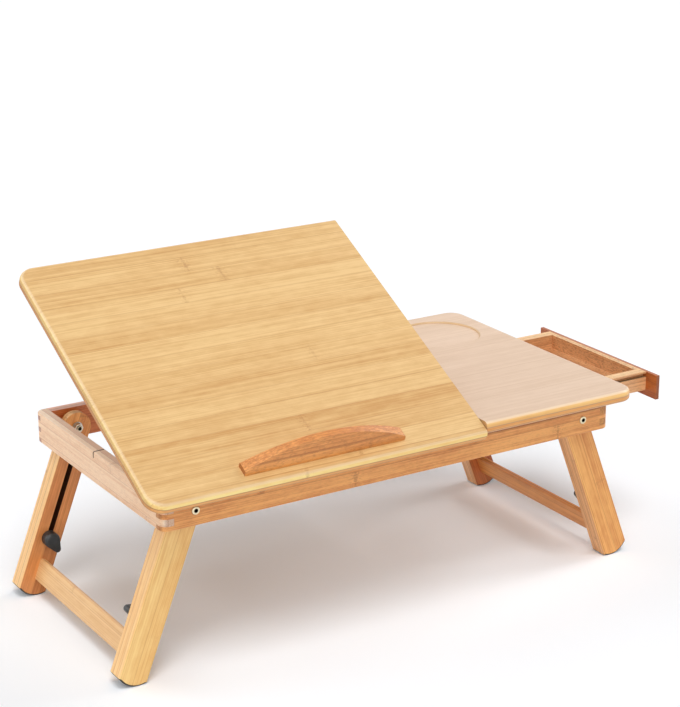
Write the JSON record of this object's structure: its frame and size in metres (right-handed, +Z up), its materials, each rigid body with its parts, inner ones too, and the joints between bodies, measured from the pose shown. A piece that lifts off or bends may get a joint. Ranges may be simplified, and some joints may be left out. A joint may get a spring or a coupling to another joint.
{
  "type": "bed tray table",
  "caption": "Bamboo bed tray table with a tilting panel on a prop, a fixed panel over a side drawer, and folding legs that slide longer.",
  "frame": {"origin": "on the floor under the middle of the whole table with its drawer open, at the lowest leg setting", "axes": "+X along the table to the side where the drawer opens, +Y from the user's side to the far side, +Z up"},
  "size_m": [0.6512, 0.3246, 0.3371],
  "materials": {
    "tilt_panel_bamboo": "satin varnish",
    "fixed_panel_bamboo": "satin varnish",
    "honey_bamboo": "satin varnish",
    "darker_bamboo": "satin varnish",
    "dowel_wood": "raw",
    "nickel_steel": "nickel plated",
    "insert_brass": "machined",
    "knob_plastic": "fine grained",
    "foot_rubber": "matt"
  },
  "bodies": {
    "frame": {"front_apron": "honey_bamboo", "rear_apron": "honey_bamboo", "left_apron": "honey_bamboo", "right_end_board": "honey_bamboo", "middle_rail": "honey_bamboo", "fixed_panel": "fixed_panel_bamboo", "deck_dowels": "dowel_wood", "frame_hinge_leaves": "nickel_steel", "frame_hinge_screws": "nickel_steel", "hinge_pins": "nickel_steel", "left_rack": "honey_bamboo", "middle_rack": "honey_bamboo", "rack_screws": "nickel_steel", "front_runner_rail": "honey_bamboo", "rear_runner_rail": "honey_bamboo", "runner_screws": "nickel_steel", "pivot_bolts": "nickel_steel", "pivot_spacers": "nickel_steel", "pivot_washers": "nickel_steel", "pivot_nuts": "nickel_steel"},
    "tilt_panel": {"tilt_panel": "tilt_panel_bamboo", "panel_hinge_leaves": "nickel_steel", "panel_hinge_screws": "nickel_steel", "book_ledge": "darker_bamboo", "ledge_dowels": "dowel_wood", "prop_hinge_blocks": "honey_bamboo", "prop_block_screws": "nickel_steel"},
    "prop": {"prop_arm_left": "honey_bamboo", "prop_arm_right": "honey_bamboo", "prop_hinge_rod": "honey_bamboo", "prop_foot_rod": "honey_bamboo"},
    "drawer": {"drawer_face": "darker_bamboo", "drawer_front_wall": "darker_bamboo", "drawer_back_wall": "darker_bamboo", "drawer_side_front": "darker_bamboo", "drawer_side_rear": "darker_bamboo", "drawer_bottom": "darker_bamboo"},
    "left_legs": {"front_left_leg": "honey_bamboo", "rear_left_leg": "honey_bamboo", "left_leg_pads": "foot_rubber", "left_clamp_inserts": "insert_brass", "left_clamp_studs": "nickel_steel"},
    "left_slides": {"front_left_slide": "honey_bamboo", "rear_left_slide": "honey_bamboo", "left_slide_pads": "foot_rubber", "left_crossbar": "honey_bamboo"},
    "front_left_knob": {"front_left_knob": "knob_plastic"},
    "rear_left_knob": {"rear_left_knob": "knob_plastic"},
    "right_legs": {"front_right_leg": "honey_bamboo", "rear_right_leg": "honey_bamboo", "right_leg_pads": "foot_rubber", "right_clamp_inserts": "insert_brass", "right_clamp_studs": "nickel_steel"},
    "right_slides": {"front_right_slide": "honey_bamboo", "rear_right_slide": "honey_bamboo", "right_slide_pads": "foot_rubber", "right_crossbar": "honey_bamboo"},
    "front_right_knob": {"front_right_knob": "knob_plastic"},
    "rear_right_knob": {"rear_right_knob": "knob_plastic"}
  },
  "joints": [
    {"name": "panel_tilt", "type": "hinge", "parent": "frame", "child": "tilt_panel", "pos_m": [-0.02931, -0.1428, 0.184], "axis": [1, 0, 0], "range_deg": [-28, 7]},
    {"name": "prop_swing", "type": "hinge", "parent": "tilt_panel", "child": "prop", "pos_m": [-0.02931, 0.02289, 0.26644], "axis": [1, 0, 0], "range_deg": [-23.46, 5.87]},
    {"name": "drawer_slide", "type": "slide", "parent": "frame", "child": "drawer", "axis": [1, 0, 0], "range_m": [-0.095, 0.01]},
    {"name": "left_legs_fold", "type": "hinge", "parent": "frame", "child": "left_legs", "pos_m": [-0.25009, 0, 0.167], "axis": [0, 1, 0], "range_deg": [-111, 0]},
    {"name": "left_legs_extend", "type": "slide", "parent": "left_legs", "child": "left_slides", "axis": [-0.3584, 0, -0.9336], "range_m": [0, 0.08]},
    {"name": "front_left_knob_turn", "type": "hinge", "parent": "left_legs", "child": "front_left_knob", "pos_m": [-0.2913, 0, 0.05964], "axis": [0, 1, 0], "continuous": true},
    {"name": "rear_left_knob_turn", "type": "hinge", "parent": "left_legs", "child": "rear_left_knob", "pos_m": [-0.2913, 0, 0.05964], "axis": [0, 1, 0], "continuous": true},
    {"name": "right_legs_fold", "type": "hinge", "parent": "frame", "child": "right_legs", "pos_m": [0.19146, 0, 0.167], "axis": [0, -1, 0], "range_deg": [-111, 0]},
    {"name": "right_legs_extend", "type": "slide", "parent": "right_legs", "child": "right_slides", "axis": [0.3584, 0, -0.9336], "range_m": [0, 0.08]},
    {"name": "front_right_knob_turn", "type": "hinge", "parent": "right_legs", "child": "front_right_knob", "pos_m": [0.23267, 0, 0.05964], "axis": [0, 1, 0], "continuous": true},
    {"name": "rear_right_knob_turn", "type": "hinge", "parent": "right_legs", "child": "rear_right_knob", "pos_m": [0.23267, 0, 0.05964], "axis": [0, 1, 0], "continuous": true}
  ],
  "couplings": [
    {"joint": "prop_swing", "follows": "panel_tilt", "ratio": 0.8375}
  ]
}
